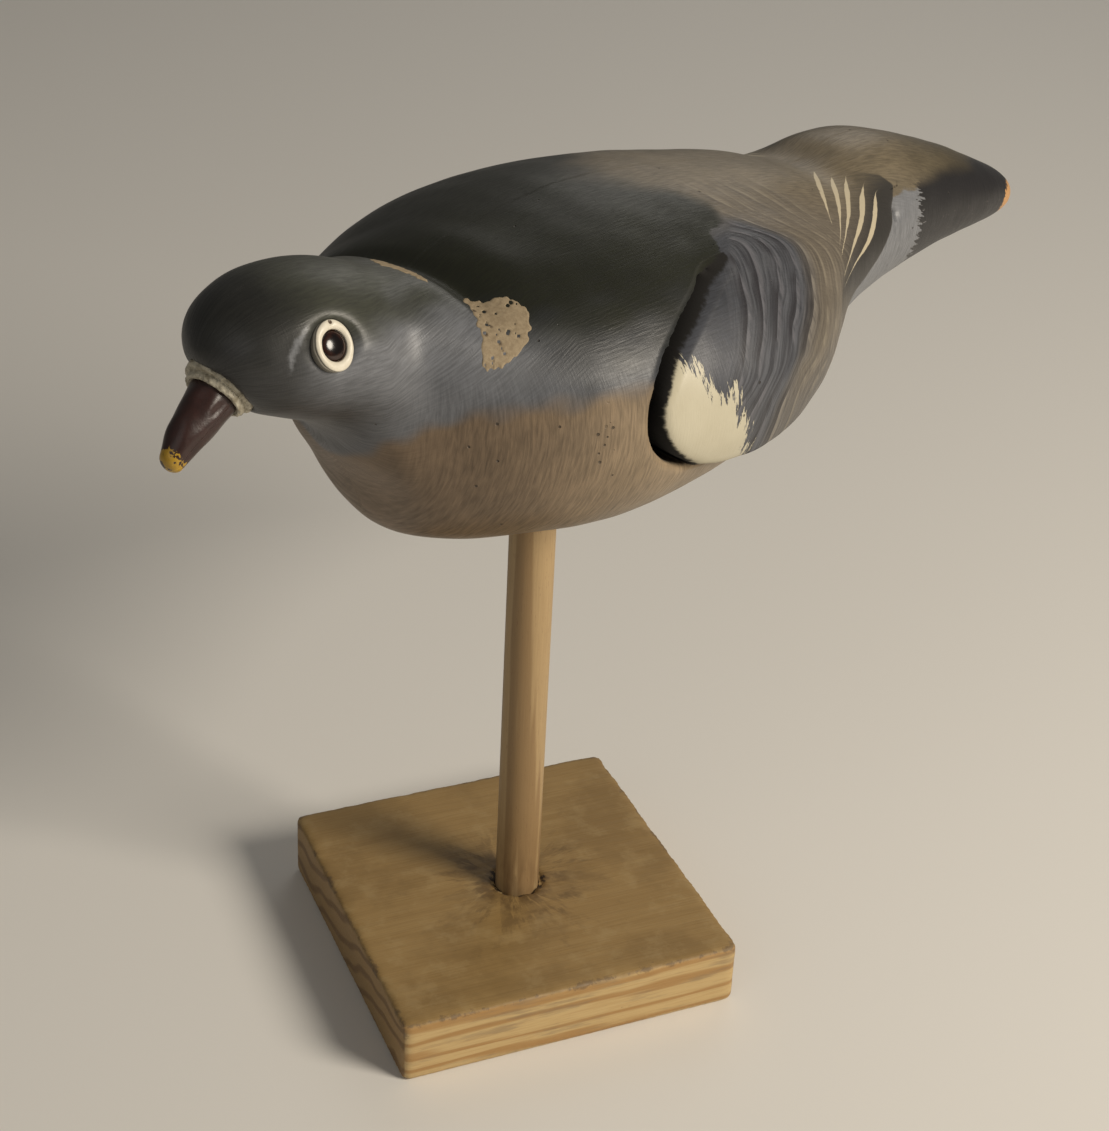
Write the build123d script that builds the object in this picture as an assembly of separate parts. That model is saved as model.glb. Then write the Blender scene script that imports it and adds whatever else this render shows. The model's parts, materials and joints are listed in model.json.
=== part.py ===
from build123d import *
import os
from math import cos, pi, radians, sin

# A painted wood-pigeon decoy standing on a dowel peg in a square pine base.
# Frame: +Z up, origin on the peg axis at the underside of the base.  The bird faces -Y,
# its left wing is on +X.  "Forward" below is the distance towards -Y, in millimetres.

# --- driving dimensions: stand -------------------------------------------------------
BASE_SIDE = 127.0          # 5 inch square board
BASE_THICK = 24.7          # dressed 1 inch board
BASE_TURN = 67.1           # how far the square is turned about the peg, degrees
BASE_CENTRE = (-1.9, -1.8) # the hole is bored a little off the middle of the board
BASE_ROUND = 3.0           # rounding of the four upright corners
BASE_EASE = 0.8            # eased top and bottom arrises
PEG_DIAMETER = 16.0        # 5/8 inch dowel
PEG_CLEARANCE = 0.05       # radial, in the base and in the belly
PEG_DEPTH_IN_BASE = 20.0
SOCKET_DEPTH = 45.0        # blind hole up into the belly
BELLY_AT_PEG = 191.0       # height of the underside of the belly on the peg axis

# --- driving dimensions: bird --------------------------------------------------------
# Each station is one cross-section of the carved body, from the face to the tail tip:
# forward, top, bottom, half width, height of the widest point, and how full the section
# is above and below that point (2 is an ellipse, more is squarer).
STATIONS = [
    (131, 288, 264, 14, 277, 2.0, 2.0),
    (122, 293, 257, 21, 275, 2.1, 2.0),
    (108, 295.5, 251, 25.5, 273, 2.2, 2.0),
    (95, 294.5, 245.5, 28, 268, 2.15, 2.0),
    (85, 292, 238, 30, 262, 1.95, 2.0),
    (76, 288.5, 208, 36, 256, 1.95, 1.9),
    (62, 285, 197.5, 50.5, 251, 2.0, 2.15),
    (45, 288, 194.5, 62, 249, 2.0, 2.2),
    (20, 293, 192, 70, 249, 2.0, 2.3),
    (-10, 295, 190, 71, 249, 2.0, 2.2),
    (-45, 292, 190, 66, 250, 2.0, 2.2),
    (-80, 286, 200, 54, 251, 2.1, 2.1),
    (-105, 280, 208, 43, 252, 2.2, 2.0),
    (-125, 275.5, 214, 36, 252, 2.2, 2.0),
    (-140, 280, 218, 32, 252, 2.2, 2.0),
    (-155, 280.5, 222, 29.5, 251, 2.2, 2.0),
    (-185, 272, 226, 25, 248, 2.2, 2.0),
    (-215, 261, 228, 21, 244, 2.2, 2.0),
    (-240, 250, 228, 16, 239, 2.2, 2.0),
    (-251, 244, 230, 11, 237, 2.0, 2.0),
]
FACE_TIP = (137, 279)      # forward, height
TAIL_TIP = (-255, 237)

# The wings are carved a little wider than the flanks they stand on.
WING_STATIONS = [
    (50, 287, 199, 59, 249, 1.9, 2.2),
    (35, 290, 198, 66, 248, 1.9, 2.2),
    (15, 293, 196, 72, 246, 1.85, 2.2),
    (-10, 295, 195, 76, 244, 1.8, 2.3),
    (-45, 293, 196, 74, 244, 1.8, 2.3),
    (-80, 286, 203, 59, 247, 1.9, 2.3),
    (-105, 279, 210, 45.5, 249, 2.0, 2.2),
    (-125, 276, 216, 39, 250, 2.1, 2.2),
    (-145, 277, 221, 33, 251, 2.2, 2.2),
    (-165, 275, 224, 28.5, 250, 2.2, 2.2),
]
SECTION_POINTS = 28

# Side-view outline of the recess that holds each wing: forward, height.
RECESS_EDGE = [
    (-27, 281), (-7, 276), (9, 269), (19, 261), (24, 250), (22.5, 240.5), (15, 231),
    (1.5, 224), (-20, 220.3), (-45, 222.3), (-75, 231.8), (-105, 241.8), (-131, 247.8), (-148, 259),
]
# The wing's own edge lies inside it and leaves a slot that closes towards the top.
WING_EDGE = [
    (-28, 280), (-10, 274.2), (4.5, 267.2), (14, 259.5), (19.5, 250), (18.5, 242), (12, 233),
    (0, 225.5), (-20, 221.5), (-45, 223.5), (-75, 233), (-105, 243), (-131, 249), (-146, 260),
]
WING_TOP_FRONT = (-40, 302)
WING_TOP_BACK = (-149, 302)
# The flat glue face between wing and flank runs from beside the shoulder to the wing tip.
GLUE_FACE_FRONT = (30, 50)     # forward, half width
GLUE_FACE_BACK = (-152, 20)
WING_PIN_DIAMETER = 6.0
WING_PIN_LENGTH = 26.0
WING_PINS = [(-2, 250), (-72, 256)]

# The head block meets the body on a sloping plane from the nape to the throat.  The head
# is set on a little turned, towards the bird's left.
NAPE = (62, 285)
THROAT = (88, 228)
HEAD_TURN = 10.0
NECK_DOWEL_DIAMETER = 12.0
NECK_DOWEL_LENGTH = 50.0
FILLER_DEPTH = 1.6
FILLER_WIDTH = 11.0

BILL_ROOT = (130.5, 264)       # centre of the bill where it leaves the putty
BILL_DROOP = 34.0
BILL_LENGTH = 26.5
BILL_ROOT_RADIUS = 7.4
BILL_TENON_RADIUS = 4.0
BILL_TENON_LENGTH = 18.0
CERE_RADIUS = 10.5
CERE_RIM_RADIUS = 8.4
CERE_BEHIND = 5.5
CERE_RIM = 3.0                 # the rim tapers over this length

EYE_PLACE = (107, 23.8, 280.3)     # forward, half width, height
EYE_BACK = 3.0                     # the eye looks this far aft of square, degrees
EYE_UP = 26.0
EYE_RING_RADIUS = 7.4
EYE_RADIUS = 4.8
EYE_FLATNESS = 0.45                # height of the glass over its radius
EYE_RING_SINK = 3.0
EYE_RING_PROUD = 0.7
EYE_PIN_RADIUS = 0.6
EYE_PIN_LENGTH = 10.0
EYE_CLEAR = 20.0                   # the socket is cut this far outwards

FAR = 400.0


def place(forward, height, side=0.0):
    """A point of the bird as a vector of the part's frame."""
    return Vector(side, -forward, height)


def cross_section(station, inset=0.0):
    """One closed cross-section of the bird, square to the Y axis."""
    forward, top, bottom, half_width, widest, upper, lower = station
    points = []
    for i in range(SECTION_POINTS):
        angle = 2 * pi * i / SECTION_POINTS
        across, rise = cos(angle), sin(angle)
        power = upper if rise >= 0 else lower
        reach = (top - widest if rise >= 0 else widest - bottom) - inset
        x = (half_width - inset) * abs(across) ** (2 / power) * (1 if across >= 0 else -1)
        z = widest + reach * abs(rise) ** (2 / power) * (1 if rise >= 0 else -1)
        points.append(Vector(x, -forward, z))
    return Face(Wire([Edge.make_spline(points, periodic=True)]))


def carved_body(inset=0.0):
    """The whole bird as one smooth solid, from the face to the tail."""
    faces = [cross_section(station, inset) for station in STATIONS]
    face_tip = Vertex(*place(FACE_TIP[0] - inset, FACE_TIP[1]))
    tail_tip = Vertex(*place(TAIL_TIP[0] + inset, TAIL_TIP[1]))
    return loft([face_tip, *faces, tail_tip])


def carved_wings():
    """The wider solid that both wings are cut from."""
    return loft([cross_section(station) for station in WING_STATIONS])


def side_prism(edge, side):
    """The side-view outline of a wing, extruded outwards on one side of the bird."""
    outline = [place(*point) for point in edge]
    top = [place(*WING_TOP_BACK), place(*WING_TOP_FRONT)]
    curve = Edge.make_spline(outline)
    rest = Polyline(outline[-1], *top, outline[0])
    face = Face(Wire([curve, *rest.edges()]))
    return extrude(face, amount=FAR / 4, dir=(side, 0, 0))


def outside_glue_face(side):
    """Everything outboard of the flat glue face of one wing."""
    front = Vector(side * GLUE_FACE_FRONT[1], -GLUE_FACE_FRONT[0], 0)
    back = Vector(side * GLUE_FACE_BACK[1], -GLUE_FACE_BACK[0], 0)
    along = (back - front).normalized()
    corners = [front - along * FAR, back + along * FAR]
    corners += [corners[1] + Vector(side * FAR, 0, 0), corners[0] + Vector(side * FAR, 0, 0)]
    return extrude(make_face(Polyline(*corners, close=True)), amount=FAR, dir=(0, 0, 1))


def rod(start, direction, radius, length):
    """A round rod from a start point along a direction."""
    return extrude(Plane(origin=start, z_dir=direction) * Circle(radius), amount=length)


def head_side():
    """Everything ahead of the neck joint."""
    down = (place(*THROAT) - place(*NAPE)).normalized()
    ahead = Vector(1, 0, 0).cross(down)
    if ahead.Y > 0:
        ahead = -ahead
    ahead = ahead.rotate(Axis.Z, HEAD_TURN)
    joint = Plane(origin=(place(*THROAT) + place(*NAPE)) / 2, z_dir=ahead)
    return joint, extrude(joint * Rectangle(FAR, FAR), amount=FAR)


def ring(plane, outer, inner, behind, ahead):
    """A flat ring about the Z axis of a plane."""
    start = Plane(origin=plane.origin - plane.z_dir * behind, z_dir=plane.z_dir)
    return extrude(start * (Circle(outer) - Circle(inner)), amount=behind + ahead)


def disc(plane, radius, behind, ahead):
    """A flat disc about the Z axis of a plane."""
    return rod(plane.origin - plane.z_dir * behind, plane.z_dir, radius, behind + ahead)


def eye_plane(side):
    """The plane of one eye, its Z axis looking out of the head."""
    forward, half_width, height = EYE_PLACE
    back, up = radians(EYE_BACK), radians(EYE_UP)
    look = Vector(side * cos(back) * cos(up), sin(back) * cos(up), sin(up))
    return Plane(origin=place(forward, height, side * half_width), z_dir=look)


def make_bill(plane):
    """The bill with its rounded tip, a cone-like turning about its own axis."""
    profile = Spline(
        (BILL_ROOT_RADIUS, 0), (6.3, 0.45 * BILL_LENGTH), (4.7, 0.8 * BILL_LENGTH),
        (0, BILL_LENGTH), tangents=((-0.05, 1), (-1, 0)),
    )
    back = Polyline((0, BILL_LENGTH), (0, 0), (BILL_ROOT_RADIUS, 0))
    half = make_face([*profile.edges(), *back.edges()])
    turned = revolve(Plane.XZ * half, axis=Axis.Z)
    return plane * turned


def make_cere(plane):
    """The putty collar: a short tapered ring behind the root of the bill."""
    outline = Polyline(
        (BILL_TENON_RADIUS, 0), (CERE_RIM_RADIUS, 0), (CERE_RADIUS, -CERE_RIM),
        (CERE_RADIUS, -CERE_BEHIND), (BILL_TENON_RADIUS, -CERE_BEHIND), close=True,
    )
    return plane * revolve(Plane.XZ * make_face(outline), axis=Axis.Z)


def build():
    """All the pieces, by name."""
    parts = {}
    up = Vector(0, 0, 1)
    peg_radius = PEG_DIAMETER / 2
    peg_foot = BASE_THICK - PEG_DEPTH_IN_BASE
    peg_top = BELLY_AT_PEG + SOCKET_DEPTH

    board = extrude(RectangleRounded(BASE_SIDE, BASE_SIDE, BASE_ROUND), amount=BASE_THICK)
    flat_edges = board.edges().group_by(Axis.Z)
    board = fillet([*flat_edges[0], *flat_edges[-1]], BASE_EASE)
    board = Pos(*BASE_CENTRE, 0) * Rot(0, 0, BASE_TURN) * board
    board -= rod(Vector(0, 0, peg_foot), up, peg_radius + PEG_CLEARANCE, BASE_THICK)
    parts["base_board"] = board
    parts["peg"] = rod(Vector(0, 0, peg_foot), up, peg_radius, peg_top - peg_foot)

    body = carved_body()
    wings = carved_wings()
    for side, name in ((1, "left"), (-1, "right")):
        outside = outside_glue_face(side)
        body -= side_prism(RECESS_EDGE, side) & outside
        wing = wings & side_prism(WING_EDGE, side) & outside
        pins = []
        for forward, height in WING_PINS:
            run = (forward - GLUE_FACE_BACK[0]) / (GLUE_FACE_FRONT[0] - GLUE_FACE_BACK[0])
            inner = GLUE_FACE_BACK[1] + run * (GLUE_FACE_FRONT[1] - GLUE_FACE_BACK[1])
            start = place(forward, height, side * (inner - WING_PIN_LENGTH / 2))
            pins.append(rod(start, Vector(side, 0, 0), WING_PIN_DIAMETER / 2, WING_PIN_LENGTH))
        for pin in pins:
            body -= pin
            wing -= pin
        parts[name + "_wing"] = wing
        parts[name + "_wing_pins"] = Compound(children=pins)

    joint, ahead = head_side()
    dowel = rod(joint.origin - joint.z_dir * NECK_DOWEL_LENGTH / 2, joint.z_dir,
                NECK_DOWEL_DIAMETER / 2, NECK_DOWEL_LENGTH)
    parts["neck_dowel"] = dowel
    behind_joint = extrude(joint * Rectangle(FAR, FAR), amount=-FILLER_WIDTH)
    filler = (body & behind_joint) - carved_body(FILLER_DEPTH)
    head = (body & ahead) - dowel
    body = body - ahead - filler - dowel
    body -= rod(Vector(0, 0, BELLY_AT_PEG - SOCKET_DEPTH), up, peg_radius + PEG_CLEARANCE,
                2 * SOCKET_DEPTH)
    parts["neck_filler"] = filler

    droop, turn = radians(BILL_DROOP), radians(HEAD_TURN)
    bill_axis = Vector(cos(droop) * sin(turn), -cos(droop) * cos(turn), -sin(droop))
    bill_plane = Plane(origin=place(*BILL_ROOT), z_dir=bill_axis)
    tenon = disc(bill_plane, BILL_TENON_RADIUS, BILL_TENON_LENGTH, 0)
    parts["bill"] = make_bill(bill_plane) + tenon
    parts["cere_putty"] = make_cere(bill_plane)
    head -= disc(bill_plane, CERE_RADIUS, CERE_BEHIND, BILL_LENGTH) + tenon

    for side, name in ((1, "left"), (-1, "right")):
        plane = eye_plane(side)
        eye = disc(plane, EYE_RADIUS, EYE_RING_SINK, 0)
        dome = plane * scale(Sphere(EYE_RADIUS), by=(1, 1, EYE_FLATNESS))
        eye = eye + dome
        pin = disc(Plane(origin=plane.origin - plane.z_dir * EYE_RING_SINK, z_dir=plane.z_dir),
                   EYE_PIN_RADIUS, EYE_PIN_LENGTH, 0)
        eye_ring = ring(plane, EYE_RING_RADIUS, EYE_RADIUS, EYE_RING_SINK, EYE_RING_PROUD)
        head -= disc(plane, EYE_RING_RADIUS, EYE_RING_SINK, EYE_CLEAR) + pin
        parts[name + "_eye_ring"] = eye_ring
        parts[name + "_eye"] = eye
        parts[name + "_eye_pin"] = pin
    parts["head_block"] = head
    parts["body_block"] = body
    return parts


parts = build()
os.makedirs("parts", exist_ok=True)
for name, shape in parts.items():
    export_step(shape, f"parts/{name}.step")
    print(name, round(shape.volume), len(shape.solids()))
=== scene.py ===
import json
import math

import bmesh
import bpy
import numpy as np
from mathutils import Matrix, Vector
from mathutils.bvhtree import BVHTree

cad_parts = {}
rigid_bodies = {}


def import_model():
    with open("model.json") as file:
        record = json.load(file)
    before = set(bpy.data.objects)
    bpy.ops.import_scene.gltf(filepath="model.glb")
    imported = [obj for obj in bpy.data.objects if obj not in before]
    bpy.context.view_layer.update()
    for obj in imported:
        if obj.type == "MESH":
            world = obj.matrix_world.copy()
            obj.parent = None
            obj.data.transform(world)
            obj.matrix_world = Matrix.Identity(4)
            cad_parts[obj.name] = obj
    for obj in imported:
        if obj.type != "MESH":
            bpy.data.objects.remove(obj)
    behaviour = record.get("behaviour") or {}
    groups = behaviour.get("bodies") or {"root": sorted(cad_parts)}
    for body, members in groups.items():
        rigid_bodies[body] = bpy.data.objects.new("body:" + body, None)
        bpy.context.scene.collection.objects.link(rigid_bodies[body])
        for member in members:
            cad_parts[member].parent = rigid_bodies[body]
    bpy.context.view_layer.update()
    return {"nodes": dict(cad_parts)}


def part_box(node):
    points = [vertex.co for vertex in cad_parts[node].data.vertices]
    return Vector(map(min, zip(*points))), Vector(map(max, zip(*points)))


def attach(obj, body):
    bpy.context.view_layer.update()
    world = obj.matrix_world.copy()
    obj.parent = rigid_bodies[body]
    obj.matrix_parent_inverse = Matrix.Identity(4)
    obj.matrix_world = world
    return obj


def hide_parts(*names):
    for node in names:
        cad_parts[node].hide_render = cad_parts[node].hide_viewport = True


# A painted wood-pigeon decoy on a dowel peg.  All lengths in the helpers are millimetres of
# the part's frame: the bird faces -Y, so "forward" is -Y, "side" is |X| and "height" is Z.
MM = 0.001
SKIN_VOXEL = 1.05
BOARD_VOXEL = 1.2
FILLER_STEP = 0.32

# Where the carved joints lie (forward, height).
NAPE = (62.0, 285.0)
THROAT = (88.0, 228.0)
HEAD_TURN = math.radians(10.0)
# The flat face between wing and flank (forward, side).
GLUE_FRONT = (30.0, 50.0)
GLUE_BACK = (-152.0, 20.0)
# Stance of the square board.
BOARD_TURN = math.radians(67.1)
BOARD_CENTRE = (-1.9, -1.8)
BOARD_HALF = 63.5
BOARD_THICK = 24.7
PEG_HOLE = 8.0
# Bill and eye placing, as in the CAD model.
BILL_ROOT = np.array([0, -130.5, 264.0])
BILL_DROOP = math.radians(34.0)
EYE_PLACE = (107.0, 23.8, 280.3)
EYE_BACK = math.radians(3.0)
EYE_UP = math.radians(26.0)

for old in list(bpy.data.objects):
    bpy.data.objects.remove(old)
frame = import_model()


# ---- numbers ----

def smooth(x, low, high):
    """A smooth 0..1 step from low to high."""
    t = np.clip((np.asarray(x, float) - low) / (high - low), 0, 1)
    return t * t * (3 - 2 * t)


def bell(x, width):
    """A bump of height 1 at 0, about 2 * width wide."""
    return np.exp(-((np.asarray(x, float) / width) ** 2))


def wobble(points, scale, seed, waves=9):
    """Smooth noise of about +-1 over 3-D points, with features of about `scale`."""
    rng = np.random.RandomState(seed)
    total = np.zeros(len(points))
    for _ in range(waves):
        direction = rng.normal(size=3)
        direction /= np.linalg.norm(direction)
        pitch = scale * rng.uniform(0.7, 1.6)
        total += np.sin(points @ direction * (2 * math.pi / pitch) + rng.uniform(0, 6.28))
    return total / math.sqrt(waves)


def polygon_distance(x, y, corners):
    """Signed distance to a closed polygon, negative inside."""
    corners = np.asarray(corners, float)
    best = np.full(len(x), 1e9)
    inside = np.zeros(len(x), bool)
    for a, b in zip(corners, np.roll(corners, -1, axis=0)):
        ex, ey = b - a
        t = np.clip(((x - a[0]) * ex + (y - a[1]) * ey) / (ex * ex + ey * ey), 0, 1)
        best = np.minimum(best, np.hypot(x - a[0] - t * ex, y - a[1] - t * ey))
        crosses = (a[1] > y) != (b[1] > y)
        reach = ex * (y - a[1]) / (ey if ey else 1e-9) + a[0]
        inside ^= crosses & (x < reach)
    return np.where(inside, -best, best)


# ---- meshes ----

def new_object(name, data):
    obj = bpy.data.objects.new(name, data)
    bpy.context.scene.collection.objects.link(obj)
    return obj


def mesh_from(name, vertices, faces, shade_smooth=True):
    """A mesh object from vertices in millimetres."""
    mesh = bpy.data.meshes.new(name)
    mesh.from_pydata([tuple(v) for v in np.asarray(vertices) * MM], [], faces)
    mesh.update()
    if shade_smooth:
        mesh.shade_smooth()
    return new_object(name, mesh)


def points_of(mesh):
    """Vertex positions in millimetres."""
    flat = np.empty(len(mesh.vertices) * 3)
    mesh.vertices.foreach_get("co", flat)
    return flat.reshape(-1, 3) / MM


def set_points(mesh, points):
    mesh.vertices.foreach_set("co", (np.asarray(points) * MM).ravel())
    mesh.update()


def normals_of(mesh):
    flat = np.empty(len(mesh.vertices) * 3)
    mesh.vertex_normals.foreach_get("vector", flat)
    return flat.reshape(-1, 3)


def edges_of(mesh):
    flat = np.empty(len(mesh.edges) * 2, np.int32)
    mesh.edges.foreach_get("vertices", flat)
    return flat.reshape(-1, 2)


def relax(points, edges, weight, rounds):
    """Moves each vertex towards its neighbours' mean, as far as its weight allows."""
    count = np.bincount(edges.ravel(), minlength=len(points)).astype(float)
    weight = np.broadcast_to(weight, (len(points),))[:, None]
    for _ in range(rounds):
        total = np.stack([
            np.bincount(edges[:, 0], points[edges[:, 1], k], len(points))
            + np.bincount(edges[:, 1], points[edges[:, 0], k], len(points))
            for k in range(3)
        ], axis=1)
        points = points + weight * 0.6 * (total / count[:, None] - points)
    return points


def spread(values, edges, rounds):
    """The largest value within a few edges of each vertex."""
    for _ in range(rounds):
        wider = values.copy()
        np.maximum.at(wider, edges[:, 0], values[edges[:, 1]])
        np.maximum.at(wider, edges[:, 1], values[edges[:, 0]])
        values = wider
    return values


def store(mesh, name, values, kind="FLOAT"):
    """Keeps one value per vertex for the material to read."""
    values = np.asarray(values, np.float32)
    layer = mesh.attributes.new(name, kind, "POINT")
    if kind == "FLOAT":
        layer.data.foreach_set("value", values)
    elif kind == "FLOAT_VECTOR":
        layer.data.foreach_set("vector", values.ravel())
    else:
        rgba = np.ones((len(values), 4), np.float32)
        rgba[:, :3] = values
        layer.data.foreach_set("color", rgba.ravel())


def install(obj, body, node, material):
    """Makes a piece ride a body, stand for a CAD node and take a finish."""
    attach(obj, body)
    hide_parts(node)
    obj.data.materials.clear()
    obj.data.materials.append(material)


def voxel_copy(name, nodes, voxel):
    """One even-meshed skin over the outside of several CAD nodes."""
    bm = bmesh.new()
    for node in nodes:
        bm.from_mesh(frame["nodes"][node].data)
    bmesh.ops.remove_doubles(bm, verts=bm.verts, dist=1e-6)
    mesh = bpy.data.meshes.new(name)
    bm.to_mesh(mesh)
    bm.free()
    obj = new_object(name, mesh)
    remesh = obj.modifiers.new("even", "REMESH")
    remesh.mode = "VOXEL"
    remesh.voxel_size = voxel * MM
    remesh.use_smooth_shade = True
    graph = bpy.context.evaluated_depsgraph_get()
    even = bpy.data.meshes.new_from_object(obj.evaluated_get(graph))
    obj.modifiers.clear()
    obj.data = even
    obj.data.materials.clear()
    return obj


def lathe(name, profile, origin, axis, segments=96):
    """A turned piece: profile points are (radius, distance along the axis)."""
    axis = Vector(axis).normalized()
    across = axis.cross(Vector((0, 0, 1))).normalized()
    up = across.cross(axis).normalized()
    origin = np.asarray(origin, float)
    vertices, faces = [], []
    for radius, along in profile:
        for k in range(segments):
            angle = 2 * math.pi * k / segments
            offset = across * math.cos(angle) * radius + up * math.sin(angle) * radius
            vertices.append(origin + np.array(axis * along + offset))
    rows = len(profile)
    for i in range(rows - 1):
        for k in range(segments):
            n = (k + 1) % segments
            faces.append((i * segments + k, i * segments + n,
                          (i + 1) * segments + n, (i + 1) * segments + k))
    faces.append(tuple(range(segments - 1, -1, -1)))
    faces.append(tuple((rows - 1) * segments + k for k in range(segments)))
    return mesh_from(name, vertices, faces)


def curve_points(points, steps):
    """A smooth line through a few points (Catmull-Rom)."""
    p = np.asarray(points, float)
    padded = np.vstack([2 * p[0] - p[1], p, 2 * p[-1] - p[-2]])
    line = []
    for i in range(1, len(padded) - 2):
        a, b, c, d = padded[i - 1:i + 3]
        for t in np.linspace(0, 1, steps, endpoint=False):
            line.append(0.5 * (2 * b + (c - a) * t + (2 * a - 5 * b + 4 * c - d) * t * t
                               + (3 * b - a - 3 * c + d) * t ** 3))
    line.append(p[-1])
    return np.array(line)


# ---- the carved bird ----

SKIN_NODES = ("body_block", "head_block", "neck_filler", "left_wing", "right_wing")


def bird_axes(points):
    """Forward, side and height of each point."""
    return -points[:, 1], abs(points[:, 0]), points[:, 2]


def glue_distance(points):
    """How far outboard of the wings' flat glue faces each point is."""
    ahead, aft = np.array(GLUE_FRONT), np.array(GLUE_BACK)
    along = (ahead - aft) / np.linalg.norm(ahead - aft)
    out = np.array([-along[1], along[0]])
    place = np.stack([-points[:, 1], abs(points[:, 0])], axis=1) - aft
    return place @ out


def neck_plane():
    """The head joint as a plane: a point on it and its forward normal (millimetres)."""
    nape = np.array([0, -NAPE[0], NAPE[1]])
    throat = np.array([0, -THROAT[0], THROAT[1]])
    down = (throat - nape) / np.linalg.norm(throat - nape)
    normal = np.array([0, down[2], -down[1]])
    turn, tilt = math.cos(HEAD_TURN), math.sin(HEAD_TURN)
    normal = np.array([-normal[1] * tilt, normal[1] * turn, normal[2]])
    return (nape + throat) / 2, normal


def around(points):
    """Distance down and round the back from the ridge, along the skin, roughly."""
    side, height = abs(points[:, 0]), points[:, 2]
    forward = -points[:, 1]
    core = np.interp(forward, [-250, -150, -100, -40, 40, 90, 130],
                     [236, 247, 246, 243, 243, 258, 270])
    reach = np.interp(forward, [-250, -150, -100, -40, 40, 90, 130],
                      [12, 28, 42, 60, 58, 27, 18])
    angle = np.arctan2(side, height - core)
    return angle * reach


def carve(obj):
    """Smooths the skin and cuts the small carved shapes into it."""
    mesh = obj.data
    edges = edges_of(mesh)
    points = relax(points_of(mesh), edges, 1.0, 3)
    set_points(mesh, points)
    normals = normals_of(mesh)
    forward, side, height = bird_axes(points)

    bend = 1 - np.einsum("ij,ij->i", normals[edges[:, 0]], normals[edges[:, 1]])
    sharp = np.zeros(len(points))
    np.maximum.at(sharp, edges[:, 0], bend)
    np.maximum.at(sharp, edges[:, 1], bend)
    sharp = (sharp > 0.12).astype(float)
    sharp[(forward > 95) | (height < 205)] = 0
    outboard = glue_distance(points)
    seam = bell(outboard, 5) * smooth(height, 262, 270) * smooth(-forward, 24, 34)
    seam *= smooth(forward, -156, -146)
    lips = spread(sharp, edges, 1) * (1 - seam)
    points = relax(points, edges, 0.8 * lips, 11)
    heel = bell(forward + 148, 9) * smooth(height, 256, 262)
    heel += bell(forward + 20, 8) * smooth(height, 271, 275) * smooth(side, 36, 42)
    points = relax(points, edges, np.clip(seam * 1.6 + heel, 0, 1), 130)
    throat = bell(forward - 88, 12) * (1 - smooth(height, 236, 250))
    points = relax(points, edges, throat, 24)
    calm = (1 - spread(sharp, edges, 3)) * (height > 200)
    points = relax(points, edges, calm * 0.9, 14)
    set_points(mesh, points)

    normals = normals_of(mesh)
    forward, side, height = bird_axes(points)
    centre, normal = neck_plane()
    ahead = (points - centre) @ normal
    top = smooth(height, 268, 280) * (1 - smooth(side, 20, 40))
    lift = -2.4 * bell(ahead + 2.6, 3.6) * top
    lift += 0.5 * bell(ahead - 6.0, 7.0) * top
    lift += 0.9 * bell(ahead + 14.0, 7.0) * top
    lift += 0.20 * wobble(points, 34, 3) + 0.07 * wobble(points, 13, 4)
    brow = bell(forward - 113, 8) * bell(height - 286, 4) * smooth(side, 12, 18)
    lift += 0.2 * brow
    gullet = bell(forward - 88, 12) * bell(height - 234, 13) * (1 - smooth(side, 22, 44))
    lift += 6.2 * gullet
    lore = bell(forward - 119, 6) * bell(height - 279, 6) * smooth(side, 12, 18)
    lift -= 0.8 * lore
    points += normals * lift[:, None]
    set_points(mesh, points)
    return points


# ---- painted areas ----

HEAD_BLUE = (0.125, 0.130, 0.142)
HEAD_TOP = (0.040, 0.042, 0.031)
# the colour of the painted shade on the front of the face and under the chin
HEAD_PAINTED_SHADE = (0.016, 0.016, 0.015)
MANTLE = (0.011, 0.012, 0.006)
MANTLE_SIDE = (0.019, 0.021, 0.024)
BREAST_BLUE = (0.080, 0.086, 0.100)
BREAST_PINK = (0.150, 0.104, 0.064)
BELLY = (0.230, 0.172, 0.108)
BACK_BROWN = (0.150, 0.122, 0.080)
TAIL_OLIVE = (0.075, 0.060, 0.034)
TAIL_BLACK = (0.012, 0.011, 0.011)
TAIL_GREY = (0.170, 0.175, 0.190)
WING_GREY = (0.050, 0.053, 0.064)
WING_BROWN = (0.125, 0.105, 0.080)

MANTLE_REAR = ((0, -16), (14, -25), (27, -41), (38, -40), (49, -28), (60, -8))
RIDGE = ((-255, 240), (-240, 250), (-215, 261), (-185, 272), (-155, 280), (-125, 278))
TAIL_TOP_EDGE = ((-240, 0), (-215, -6), (-190, -11), (-160, -15), (-120, -16))
# One covert's pale edge (forward, side, height); the others lie parallel to it.
COVERT_EDGE = (
    (-30, 20, 292), (-38, 32, 288), (-49, 40, 282), (-62, 47, 274), (-58, 59, 266),
    (-43, 71, 255), (-30, 76, 243), (-25, 75, 231), (-27, 66, 221),
)
# The cream stripes on the primaries, from the top end down (forward, side, height).
PRIMARY_STRIPES = (
    ((-122, 11, 277), (-109, 25, 275), (-100, 36, 270)),
    ((-125, 17, 276), (-113, 29, 270), (-96, 44, 265)),
    ((-130, 19, 275), (-114, 33, 268), (-93, 48, 263)),
    ((-134, 23, 271), (-117, 36, 264), (-92, 51, 258)),
    ((-137, 26, 268), (-119, 39, 259), (-91, 53, 255)),
)
# The folded wing as painted, seen from the side (forward, height).
WING_PAINT = (
    (40, 310), (-112, 310), (-122, 279), (-134, 274.5), (-144, 272), (-149, 268), (-146, 264),
    (-137, 257), (-125, 250), (-105, 242), (-75, 231), (-45, 218), (40, 190),
)


def table(points):
    """Columns of a list of pairs, for np.interp."""
    return tuple(np.array(points, float).T)


def blend(base, colour, amount):
    return base + (np.array(colour) - base) * np.clip(amount, 0, 1)[:, None]


def solid(colour, count):
    return np.tile(np.array(colour), (count, 1))


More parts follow.
